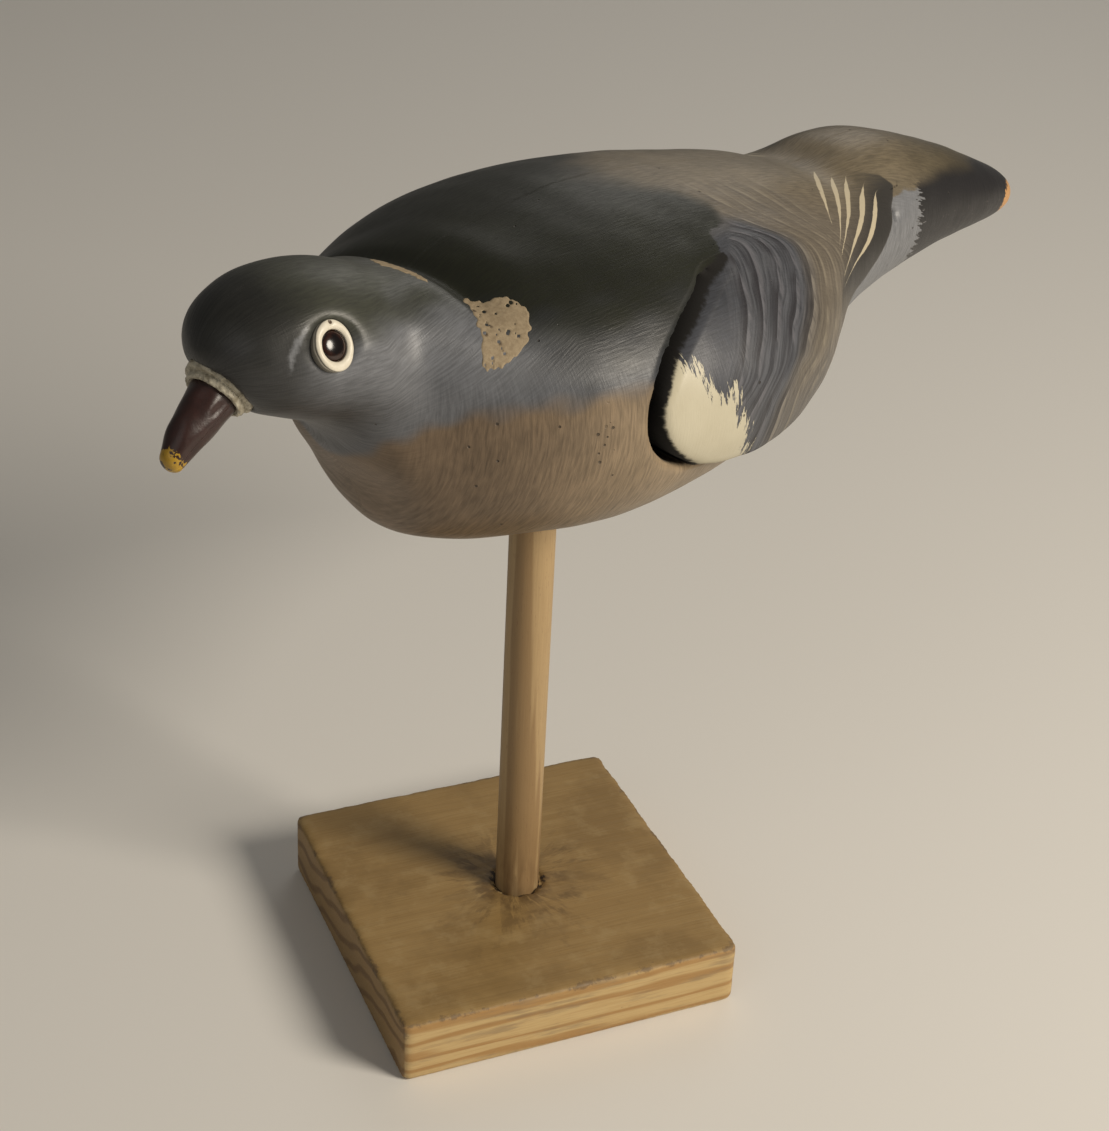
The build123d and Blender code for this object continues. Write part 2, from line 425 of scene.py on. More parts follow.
def breast_line(side):
    """Height of the edge between the blue-grey and the pinkish breast."""
    return 232 + 26 * (1 - bell(side, 30))


def line_around(line):
    """around() for a line of (forward, side, height)."""
    return around(line[:, [1, 0, 2]] * [1, -1, 1])


def over_tail_edge(forward, height):
    """Height above the line where the tail's top colour ends."""
    return height - np.interp(forward, *table(RIDGE)) - np.interp(forward, *table(TAIL_TOP_EDGE))


def covert_lane(points):
    """Distance ahead of the reference covert edge."""
    edge = curve_points(COVERT_EDGE, 8)
    edge_q = line_around(edge)
    return -points[:, 1] - np.interp(around(points), edge_q, edge[:, 0])


def primary_lanes(points):
    """Which cream stripe each point is nearest (0 to 4, as a smooth number) and how far
    down the stripe it is (0 to 1)."""
    q, forward = around(points), -points[:, 1]
    lines = []
    for stripe in PRIMARY_STRIPES:
        line = curve_points(stripe, 12)
        lines.append((line_around(line), line[:, 0]))
    slopes = [(f[-1] - f[-8]) / (lq[-1] - lq[-8]) for lq, f in lines]
    at = []
    for (lq, f), slope in zip(lines, slopes):
        past = np.maximum(q - lq[-1], 0) * slope
        ahead_of = np.minimum(q - lq[0], 0) * slope
        at.append(np.interp(q, lq, f) + past + ahead_of)
    at = np.stack(at, axis=1)
    at = np.minimum.accumulate(at - np.arange(5) * 0.01, axis=1)
    lane = (at[:, 0] - forward) / np.maximum(at[:, 0] - at[:, 1], 1.5)
    lane = np.minimum(lane, 0)
    for k in range(4):
        gap = np.maximum(at[:, k] - at[:, k + 1], 1.5)
        lane += np.clip((at[:, k] - forward) / gap, 0, 1)
    lane += np.maximum(at[:, 4] - forward, 0) / np.maximum(at[:, 3] - at[:, 4], 1.5)
    starts = np.interp(lane, range(5), [lq[0] for lq, _ in lines])
    ends = np.interp(lane, range(5), [lq[-1] for lq, _ in lines])
    return lane, (q - starts) / (ends - starts)


def skin_colours(points, wing, lane):
    """Soft colour zones of the painted bird, as one colour per vertex."""
    count = len(points)
    forward, side, height = bird_axes(points)
    mess = wobble(points, 11, 21)
    colour = solid(BREAST_BLUE, count)
    colour = blend(colour, MANTLE_SIDE, smooth(height + 2 * mess, 254, 268))
    colour = blend(colour, MANTLE, smooth(height + 3 * mess, 264, 282))
    breast = 1 - smooth(height - breast_line(side) + 1.2 * mess, -3.5, 3.5)
    colour = blend(colour, BREAST_PINK, breast)
    pale = (1 - smooth(forward, 10, 75)) * smooth(height, 196, 212) * breast
    colour = blend(colour, BELLY, pale)
    # head and neck
    centre, normal = neck_plane()
    ahead = (points - centre) @ normal
    head = smooth(ahead + 0.6 * mess, -1.0, 0.6) * (1 - breast)
    lower = smooth(side, 24, 34) * (1 - smooth(height, 268, 280))
    head = np.maximum(head, smooth(ahead + 3 * mess, -22, 4) * lower * (1 - breast))
    blue = blend(solid(HEAD_BLUE, count), HEAD_TOP, smooth(height + 2 * mess, 275, 287))
    # painted shade: the front of the face and the underside of the chin are darkened
    blue = blend(blue, HEAD_PAINTED_SHADE, smooth(forward + mess, 104, 121) * 0.9)
    chin_painted_shade = bell(forward - 104, 15) * (1 - smooth(height, 254, 272))
    blue = blend(blue, HEAD_PAINTED_SHADE, chin_painted_shade * 0.75)
    colour = colour + (blue - colour) * head[:, None]
    # wings and back
    behind = np.interp(side, *table(MANTLE_REAR)) - forward + 1.2 * mess
    soft = 3 + 15 * (1 - smooth(side, 8, 40))
    top_rear = smooth(behind / soft, -0.8, 1.0)
    rear = np.maximum(wing, top_rear * smooth(height, 252, 262))
    rear = np.maximum(rear, 1 - smooth(forward, -120, -100))
    back = blend(solid(BACK_BROWN, count), WING_BROWN, smooth(side, 18, 40))
    slate = smooth(lane + mess, -12, 3) * smooth(side, 30, 40) * (1 - smooth(height + mess, 283, 290))
    back = blend(back, WING_GREY, slate)
    lower_wing = (1 - smooth(height, 232, 252)) * smooth(forward, -110, -60)
    back = blend(back, WING_GREY, lower_wing * 0.8)
    mantle_fade = bell(np.minimum(lane - 14, 0), 9) * smooth(height, 262, 272)
    back = blend(back, MANTLE_SIDE, mantle_fade * 0.35)
    back = blend(back, TAIL_OLIVE, 1 - smooth(forward + 3 * mess, -205, -135))
    colour = colour + (back - colour) * np.clip(rear, 0, 1)[:, None]
    over = over_tail_edge(forward, height)
    black = (1 - smooth(over + mess, -1, 6)) * (1 - smooth(forward, -190, -168))
    black = np.maximum(black, 1 - smooth(forward + 2 * mess, -246, -218))
    colour = blend(colour, TAIL_BLACK, black)
    under = (1 - smooth(height, 222, 232)) * (1 - smooth(forward, -150, -60))
    return blend(colour, TAIL_GREY, under * 0.5 * (1 - black))


# Painted or bare patches: from the side (forward, height) for the wing, from above
# (forward, left) for the filler.
WHITE_PATCH = [
    (30, 262), (10, 263), (4, 257), (-2, 249), (-7, 251), (-9, 243), (-13, 237),
    (-18, 226), (-22, 212), (30, 212),
]
FILLER_PATCH = [
    (57, 21), (53, 28), (48.5, 31), (46.5, 38), (49.5, 43), (55, 45), (60, 44.6), (64, 43),
    (66.5, 41), (65, 39), (61.5, 34), (59, 28),
]
NAPE_PATCH = [(69, -5), (63.5, -3.5), (61, 7), (63, 14), (66, 7), (70, 0)]
# The two lips of the slot round the wing, seen from the side (forward, height).
WING_OUTLINE = [
    (-28, 280), (-10, 274.2), (4.5, 267.2), (14, 259.5), (19.5, 250), (18.5, 242), (12, 233),
    (0, 225.5), (-20, 221.5), (-45, 223.5), (-75, 233), (-105, 243), (-131, 249), (-146, 260),
]
RECESS_OUTLINE = [
    (-27, 281), (-7, 276), (9, 269), (19, 261), (24, 250), (22.5, 240.5), (15, 231),
    (1.5, 224), (-20, 220.3), (-45, 222.3), (-75, 231.8), (-105, 241.8), (-131, 247.8), (-148, 259),
]
# Bare wood at the tip of the tail (forward, left, height).
TAIL_CHIP = (-247, 15, 236)
TAIL_CHIP_RADIUS = 8.2
# Old pits in the left side of the breast (forward, height).
PITTED = (38.5, 246)
PITTED_HALF = (3.5, 10)
# A painted highlight: the pale stroke in front of the eye (forward, height).
EYE_HIGHLIGHT_STROKE = [(113, 287), (117.5, 284), (120.5, 279.5), (120.6, 275), (119, 279), (116.5, 282.6)]


def slot_field(points, wing):
    """Positive on the walls and floor of the slot round the wing, in millimetres."""
    forward, height = -points[:, 1], points[:, 2]
    top = [(-149, 330), (-27, 330)]
    on_wing = polygon_distance(forward, height, curve_points(WING_OUTLINE, 6).tolist() + top)
    on_body = polygon_distance(forward, height, curve_points(RECESS_OUTLINE, 6).tolist() + top)
    fade = 1.2 * (1 - smooth(height, 222, 232))
    inside = np.where(wing > 0.5, on_wing + 0.9 - fade, -on_body + 0.1 - fade)
    inside[(height > 281) | (forward < -60) | (abs(points[:, 0]) < 30)] = -5
    return np.clip(inside, -5, 5)


def store_paint(mesh, points, wing):
    """Fields that the materials turn into brushed edges, stripes and feather lines."""
    forward, side, height = bird_axes(points)
    q = around(points)
    hand = np.sign(points[:, 0])
    lane = covert_lane(points)
    store(mesh, "tint", skin_colours(points, wing, lane), "FLOAT_COLOR")
    store(mesh, "flow", np.stack([forward, q * hand, hand * 40], axis=1), "FLOAT_VECTOR")
    patch = polygon_distance(forward, height, WHITE_PATCH)
    store(mesh, "white_patch", np.where(wing > 0.5, patch, 20))
    store(mesh, "covert", lane)
    rear = np.interp(side, *table(MANTLE_REAR)) - forward
    plumed = np.where(height > 262, rear, np.where(wing > 0.5, 20, -20))
    store(mesh, "plumed", np.clip(plumed, -20, 20))
    store(mesh, "outer", side)
    store(mesh, "around", q)
    primary, run = primary_lanes(points)
    store(mesh, "primary_lane", np.clip(primary, -3, 9))
    store(mesh, "primary_run", np.clip(run, -2, 3))
    store(mesh, "wing_shape", -polygon_distance(forward, height, WING_PAINT))
    store(mesh, "tail_band", forward + 165)
    store(mesh, "tail_top", over_tail_edge(forward, height))
    chip = [(forward - TAIL_CHIP[0]) / 1.2, points[:, 0] - TAIL_CHIP[1], height - TAIL_CHIP[2]]
    store(mesh, "tail_chip", np.linalg.norm(chip, axis=0) - TAIL_CHIP_RADIUS)
    store(mesh, "upright", (1 - smooth(height, 250, 272)) * (1 - smooth(forward, 72, 92)))
    store(mesh, "slot", slot_field(points, wing))
    # painted highlight: the pale stroke in front of the eye
    eye_highlight_stroke = polygon_distance(forward, height, EYE_HIGHLIGHT_STROKE)
    store(mesh, "eye_highlight_stroke", np.where(side > 14, eye_highlight_stroke, 9))
    pitted = np.hypot((forward - PITTED[0]) / PITTED_HALF[0], (height - PITTED[1]) / PITTED_HALF[1])
    store(mesh, "pitted", np.where(points[:, 0] > 30, np.minimum(pitted, 3), 3))


def wing_membership(points):
    """1 on the wing panels, 0 on the rest, by the nearest CAD surface."""
    graph = bpy.context.evaluated_depsgraph_get()
    trees = {n: BVHTree.FromObject(frame["nodes"][n], graph)
             for n in ("left_wing", "right_wing", "body_block", "neck_filler")}
    result = np.zeros(len(points))
    forward, side, height = bird_axes(points)
    near = (forward < 32) & (forward > -156) & (height > 212) & (side > 14)
    outboard = glue_distance(points)
    for i in np.nonzero(near & (outboard > -1.0))[0]:
        place = Vector(points[i] * MM)
        own = trees["left_wing" if points[i, 0] > 0 else "right_wing"]
        wing_gap = own.find_nearest(place)[3]
        body_gap = trees["body_block"].find_nearest(place)[3]
        result[i] = 1.0 if wing_gap < body_gap else 0.0
    return result


def near_top_seam(point, hand):
    """Whether a point lies by the painted-over joint between wing and back."""
    if point[0] * hand < 0 or point[2] < 264 or not -152 < -point[1] < -27:
        return False
    return abs(glue_distance(point[None])[0]) < 5


def split_skin(obj, wing):
    """Separates the finished skin into body, head and two wings, each one closed."""
    mesh = obj.data
    store(mesh, "is_wing", wing)
    store(mesh, "skin_normal", normals_of(mesh), "FLOAT_VECTOR")
    centre, normal = neck_plane()
    bm = bmesh.new()
    bm.from_mesh(mesh)
    bmesh.ops.bisect_plane(bm, geom=bm.verts[:] + bm.edges[:] + bm.faces[:], dist=1e-7,
                           plane_co=Vector(centre * MM), plane_no=Vector(normal))
    for hand in (1, -1):
        near = [f for f in bm.faces if near_top_seam(np.array(f.calc_center_median()) / MM, hand)]
        edges = dict.fromkeys(e for f in near for e in f.edges)
        corners = dict.fromkeys(v for f in near for v in f.verts)
        place = Vector((hand * GLUE_BACK[1], -GLUE_BACK[0], 0)) * MM
        along = Vector((hand * (GLUE_FRONT[1] - GLUE_BACK[1]), GLUE_BACK[0] - GLUE_FRONT[0], 0))
        bmesh.ops.bisect_plane(bm, geom=[*near, *edges, *corners], dist=1e-7, plane_co=place,
                               plane_no=along.cross(Vector((0, 0, 1))))
    layer = bm.verts.layers.float["is_wing"]
    groups = {"head_skin": [], "body_skin": [], "left_wing_skin": [], "right_wing_skin": []}
    for face in bm.faces:
        middle = face.calc_center_median()
        winged = sum(v[layer] for v in face.verts) / len(face.verts)
        point = np.array(middle) / MM
        if near_top_seam(point, 1) or near_top_seam(point, -1):
            winged = float(glue_distance(point[None])[0] > 0)
        if (point - centre) @ normal > 0:
            key = "head_skin"
        elif winged > 0.5:
            key = "left_wing_skin" if middle.x > 0 else "right_wing_skin"
        else:
            key = "body_skin"
        groups[key].append(face.index)
    bm.faces.index_update()
    whole = bpy.data.meshes.new("whole")
    bm.to_mesh(whole)
    bm.free()
    pieces = {}
    for key, wanted in groups.items():
        part = bmesh.new()
        part.from_mesh(whole)
        part.faces.ensure_lookup_table()
        wanted = set(wanted)
        drop = [f for f in part.faces if f.index not in wanted]
        bmesh.ops.delete(part, geom=drop, context="FACES")
        loose_islands(part)
        rim = [e for e in part.edges if e.is_boundary]
        capped = bmesh.ops.holes_fill(part, edges=rim, sides=0)["faces"]
        bmesh.ops.triangulate(part, faces=capped)
        out = bpy.data.meshes.new(key)
        part.to_mesh(out)
        part.free()
        out.shade_smooth()
        flat = np.empty(len(out.vertices) * 3, np.float32)
        out.attributes["skin_normal"].data.foreach_get("vector", flat)
        flat = flat.reshape(-1, 3)
        flat /= np.maximum(np.linalg.norm(flat, axis=1, keepdims=True), 1e-6)
        out.normals_split_custom_set_from_vertices(flat.tolist())
        pieces[key] = new_object(key, out)
    bpy.data.objects.remove(obj)
    return pieces


def loose_islands(bm):
    """Deletes all but the largest connected island."""
    seen, islands = set(), []
    bm.faces.ensure_lookup_table()
    for face in bm.faces:
        if face in seen:
            continue
        island, stack = [], [face]
        seen.add(face)
        while stack:
            f = stack.pop()
            island.append(f)
            for e in f.edges:
                for g in e.link_faces:
                    if g not in seen:
                        seen.add(g)
                        stack.append(g)
        islands.append(island)
    islands.sort(key=len)
    for island in islands[:-1]:
        bmesh.ops.delete(bm, geom=island, context="FACES")


def make_bird():
    skin = voxel_copy("bird_skin", SKIN_NODES, SKIN_VOXEL)
    plain = points_of(skin.data)
    wing = wing_membership(plain)
    points = carve(skin)
    store_paint(skin.data, points, wing)
    pieces = split_skin(skin, wing)
    paint = plumage_material()
    install(pieces["body_skin"], "bird", "body_block", paint)
    install(pieces["head_skin"], "bird", "head_block", paint)
    install(pieces["left_wing_skin"], "bird", "left_wing", paint)
    install(pieces["right_wing_skin"], "bird", "right_wing", paint)
    return pieces


def patch_grid(skin, outline, step):
    """A fine sheet lying on the skin inside an outline of (forward, side) points."""
    outline = curve_points(np.vstack([outline, outline[:1]]), 5)[:-1]
    low, high = outline.min(0) - 1, outline.max(0) + 1
    fs = np.arange(low[0], high[0], step)
    ws = np.arange(low[1], high[1], step)
    graph = bpy.context.evaluated_depsgraph_get()
    trees = [BVHTree.FromObject(s, graph) for s in skin]
    grid_f, grid_w = np.meshgrid(fs, ws, indexing="ij")
    ragged = 0.35 * wobble(np.stack([grid_f.ravel(), grid_w.ravel(), 0 * grid_f.ravel()], 1), 2.2, 8)
    gap = polygon_distance(grid_f.ravel(), grid_w.ravel(), outline) + ragged
    gap = gap.reshape(grid_f.shape)
    index, vertices, depth = {}, [], []
    for i in range(len(fs)):
        for j in range(len(ws)):
            if gap[i, j] > 0.45:
                continue
            start = Vector((ws[j], -fs[i], 330)) * MM
            hits = [t.ray_cast(start, Vector((0, 0, -1))) for t in trees]
            hits = [h for h in hits if h[0] is not None]
            if not hits:
                continue
            place, normal = max(hits, key=lambda h: h[0].z)[:2]
            index[i, j] = len(vertices)
            vertices.append(np.array(place) / MM)
            depth.append((gap[i, j], np.array(normal)))
    return index, np.array(vertices), depth


def make_filler(pieces):
    """The bare filler at the neck joint: two flat patches with pits and a thin broken rim."""
    skins = [pieces["body_skin"], pieces["head_skin"]]
    for name, outline in (("neck_filler_side", FILLER_PATCH), ("neck_filler_nape", NAPE_PATCH)):
        index, vertices, depth = patch_grid(skins, outline, FILLER_STEP)
        gap = np.array([d[0] for d in depth])
        normal = np.array([d[1] for d in depth])
        pits = pit_field(vertices, 4.2, 0.22, 5)
        rise = 0.16 - 0.55 * smooth(gap, -0.35, 0.4) - 0.5 * pits
        rise += 0.05 * wobble(vertices, 1.7, 6) + 0.05 * wobble(vertices, 4.5, 7)
        top = vertices + normal * rise[:, None]
        under = vertices - normal * 0.9
        faces = []
        count = len(top)
        for (i, j), a in index.items():
            ring = [index.get(k) for k in ((i + 1, j), (i + 1, j + 1), (i, j + 1))]
            if None in ring:
                continue
            faces.append((a, ring[0], ring[1], ring[2]))
        walls = boundary_edges(faces)
        faces += [tuple(count + v for v in reversed(f)) for f in faces]
        faces += [(b, a, count + a, count + b) for a, b in walls]
        obj = mesh_from(name, np.vstack([top, under]), faces)
        drop_loose(obj)
        store(obj.data, "pit", pit_field(points_of(obj.data), 4.2, 0.22, 5))
        install(obj, "bird", "neck_filler", filler_material())


def drop_loose(obj):
    bm = bmesh.new()
    bm.from_mesh(obj.data)
    bmesh.ops.delete(bm, geom=[v for v in bm.verts if not v.link_faces], context="VERTS")
    bmesh.ops.recalc_face_normals(bm, faces=bm.faces)
    bm.to_mesh(obj.data)
    bm.free()
    obj.data.shade_smooth()


def boundary_edges(faces):
    """Directed edges that only one face uses."""
    used = set()
    for face in faces:
        for a, b in zip(face, face[1:] + face[:1]):
            used.add((a, b))
    return [(a, b) for a, b in used if (b, a) not in used]


def pit_field(points, spacing, size, seed):
    """0..1 hollows scattered over 3-D points, about `spacing` apart."""
    rng = np.random.RandomState(seed)
    low, high = points.min(0), points.max(0)
    box = np.maximum(high - low, 1)
    number = int(min(400, max(12, box[0] * box[1] / spacing ** 2)))
    picks = points[rng.randint(0, len(points), number)]
    sizes = size * rng.uniform(0.5, 2.0, number) ** 1.3
    field = np.zeros(len(points))
    for centre, radius in zip(picks, sizes):
        gap = np.linalg.norm(points - centre, axis=1)
        field = np.maximum(field, 1 - smooth(gap, radius * 0.5, radius * 1.4))
    return field


# ---- bill, putty and eyes ----

def bill_axis():
    return np.array([math.cos(BILL_DROOP) * math.sin(HEAD_TURN),
                     -math.cos(BILL_DROOP) * math.cos(HEAD_TURN), -math.sin(BILL_DROOP)])


def about_bill(points):
    """The bill's axis, and each point's place along it and offset from it."""
    axis = bill_axis()
    along = (points - BILL_ROOT) @ axis
    return axis, along, points - BILL_ROOT - along[:, None] * axis


def cross_axes(axis):
    """Level and upward unit vectors square to an axis."""
    across = np.cross(axis, [0, 0, 1])
    across /= np.linalg.norm(across)
    return across, np.cross(across, axis)


def make_bill():
    """The bill: a tapering, slightly hooked form, carved with flats and a gape line."""
    length = 26.5
    outline = curve_points([(7.5, -3.0), (7.4, 0), (6.9, 6), (6.2, 12), (5.3, 17), (4.2, 21.5)], 8)
    tip = [(3.95 * math.cos(a), 22.2 + 3.2 * math.sin(a)) for a in np.linspace(0.1, 1.5, 12)]
    profile = [(3.9, -18.0), (3.9, -3.4)] + [tuple(p) for p in outline] + tip
    obj = lathe("bill_carved", profile, BILL_ROOT, bill_axis(), 128)
    mesh = obj.data
    points = points_of(mesh)
    axis, along, radial = about_bill(points)
    run = np.clip(along / length, 0, 1)
    across, up = cross_axes(axis)
    x, z = radial @ across, radial @ up
    free = smooth(along, -1, 2)
    narrow = 1 - 0.06 * run * free
    gape = 0.42 * bell(z - 0.1 + 0.6 * run, 0.55) * smooth(abs(x), 2, 4) * free
    gape *= 1 - smooth(run, 0.86, 0.97)
    nostril = 0.5 * bell(z - 2.6, 1.2) * bell(along - 5.5, 2.6) * smooth(abs(x), 2.5, 4.5)
    size = np.maximum(np.hypot(x, z), 1e-6)
    shrink = 1 - (gape + nostril) / size + 0.02 * wobble(points, 7, 31) * free
    hook = -1.6 * smooth(run, 0.5, 1.0) * run
    x, z = x * narrow * shrink, z * shrink + hook
    points = BILL_ROOT + along[:, None] * axis + x[:, None] * across + z[:, None] * up
    set_points(mesh, points)
    store(mesh, "along", along)
    store(mesh, "top", z - hook)
    install(obj, "bird", "bill", bill_material())


def make_cere():
    """The putty collar in two rough steps behind the bill."""
    profile = [(4.0, -5.4), (10.3, -5.4), (10.7, -4.6), (10.9, -3.6), (10.85, -2.6), (10.6, -1.9),
               (10.2, -1.5), (9.8, -1.35), (9.5, -1.2), (9.45, -0.7), (9.4, -0.1), (9.2, 0.45),
               (8.9, 0.8), (8.4, 0.95), (7.9, 0.8), (7.3, 0.4), (4.0, 0.2)]
    profile = [tuple(p) for p in curve_points(profile, 3)]
    obj = lathe("cere_collar", profile, BILL_ROOT, bill_axis(), 160)
    points = points_of(obj.data)
    axis, along, radial = about_bill(points)
    free = smooth(along, -4.6, -2.5) * smooth(np.linalg.norm(radial, axis=1), 5, 8)
    rough = 0.30 * wobble(points, 5.5, 41) + 0.16 * wobble(points, 1.9, 42) + 0.08 * wobble(points, 0.9, 43)
    out = radial / np.maximum(np.linalg.norm(radial, axis=1, keepdims=True), 1e-6)
    points += (out * 0.7 + axis * 0.5) * (rough * free)[:, None]
    set_points(obj.data, points)
    install(obj, "bird", "cere_putty", cere_material())


def make_eye(hand, name):
    """One eye: a raised cream ring with a broken rim, and a glossy bead in it."""
    look = np.array([hand * math.cos(EYE_BACK) * math.cos(EYE_UP),
                     math.sin(EYE_BACK) * math.cos(EYE_UP), math.sin(EYE_UP)])
    place = np.array([hand * EYE_PLACE[1], -EYE_PLACE[0], EYE_PLACE[2]])
    arc = [(5.9 + 1.45 * math.cos(a), -0.15 + 0.95 * math.sin(a)) for a in np.linspace(-0.6, 3.5, 22)]
    profile = [(4.3, -2.9), (7.3, -2.9), (7.35, -1.2)] + arc + [(4.3, -1.1)]
    ring = lathe(name + "_eye_ring_moulded", profile, place, look, 128)
    points = points_of(ring.data)
    points += (look * 0.10)[None, :] * wobble(points, 4.2, 51)[:, None]
    across, up = cross_axes(look)
    local = points - place
    narrow = 0.11 * smooth(np.linalg.norm(local - np.outer(local @ look, look), axis=1), 4.6, 7.0)
    points -= np.outer((local @ across) * narrow, across)
    local = points - place
    notch = bell(local @ up - 6.6, 0.8) * bell(local @ across + 0.8, 0.7) * smooth(local @ look, -0.4, 0.6)
    points -= look * 0.7 * notch[:, None]
    set_points(ring.data, points)
    store(ring.data, "radius", np.hypot(local @ up, local @ across / 0.89))
    store(ring.data, "notch", notch)
    install(ring, "bird", name + "_eye_ring", eye_ring_material())
    dome = [(4.4 * math.cos(a), -0.75 + 1.6 * math.sin(a)) for a in np.linspace(0, 1.53, 22)]
    bead = lathe(name + "_eye_bead", [(4.4, -2.9), (4.4, -1.2)] + dome, place, look)
    local = points_of(bead.data) - place
    store(bead.data, "radius", np.hypot(local @ up, local @ across))
    install(bead, "bird", name + "_eye", eye_material())


# ---- the stand ----

def board_local(points):
    """Board coordinates: along the grain, across it, and up."""
    x = points[:, 0] - BOARD_CENTRE[0]
    y = points[:, 1] - BOARD_CENTRE[1]
    c, s = math.cos(BOARD_TURN), math.sin(BOARD_TURN)
    return np.stack([x * c + y * s, -x * s + y * c, points[:, 2]], axis=1)


def make_board():
    board = voxel_copy("pine_board", ("base_board",), BOARD_VOXEL)
    mesh = board.data
    edges = edges_of(mesh)
    points = relax(points_of(mesh), edges, 1.0, 2)
    local = board_local(points)
    gaps = np.sort(np.stack([BOARD_HALF - abs(local[:, 0]), BOARD_HALF - abs(local[:, 1]),
                             np.minimum(local[:, 2], BOARD_THICK - local[:, 2])], axis=1), axis=1)
    edge_gap = np.hypot(gaps[:, 0], gaps[:, 1])
    worn = bell(edge_gap, 2.6) * smooth(points[:, 2], 1.5, 5)
    wear = np.clip(0.30 + 0.30 * wobble(local, 25, 61) + 0.25 * wobble(local, 6, 62), 0, 1.2)
    set_points(mesh, points)
    normals = normals_of(mesh)
    points -= normals * (0.5 * worn * wear)[:, None]
    grain = 0.05 * np.sin(local[:, 1] * 1.9 + 2.0 * wobble(local * [0.12, 1, 1], 14, 63))
    top = smooth(points[:, 2], 23.6, 24.4) * smooth(edge_gap, 1, 4)
    points += normals * (grain * top)[:, None]
    hole = np.hypot(points[:, 0], points[:, 1])
    ragged = bell(hole - 8.6, 1.3 + 0.5 * wobble(local, 5, 64)) * smooth(points[:, 2], 22.5, 24.2)
    points[:, 2] -= np.clip(ragged, 0, 1) * (0.9 + 0.5 * wobble(local, 3.5, 65))
    points[:, 2] = np.maximum(points[:, 2], 0.0)
    set_points(mesh, points)
    store(mesh, "board", board_local(points), "FLOAT_VECTOR")
    store(mesh, "edge_gap", edge_gap)
    store(mesh, "hole_gap", hole - PEG_HOLE)
    install(board, "stand", "base_board", board_material())


def make_peg():
    low, high = (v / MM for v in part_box("peg"))
    radius = (high.x - low.x) / 2
    rows = 120
    heights = np.linspace(low.z + 0.01, high.z - 1.0, rows)
    profile = [(radius * 0.9, low.z)] + [(radius, z) for z in heights] + [(radius * 0.88, high.z)]
    # a hair off upright, because lathe() can't find its cross axes for an axis along Z
    obj = lathe("peg_dowel", profile, (0, 0, 0), (0, 0.00001, 1))
    points = points_of(obj.data)
    angle = np.arctan2(points[:, 1], points[:, 0])
    flats = -0.03 - 0.03 * np.cos(3 * angle + points[:, 2] * 0.01) - 0.02 * np.sin(7 * angle)
    unit = points * [1, 1, 0]
    unit /= np.maximum(np.linalg.norm(unit, axis=1, keepdims=True), 1e-6)
    set_points(obj.data, points + unit * flats[:, None])
    install(obj, "peg", "peg", dowel_material())


# ---- materials ----

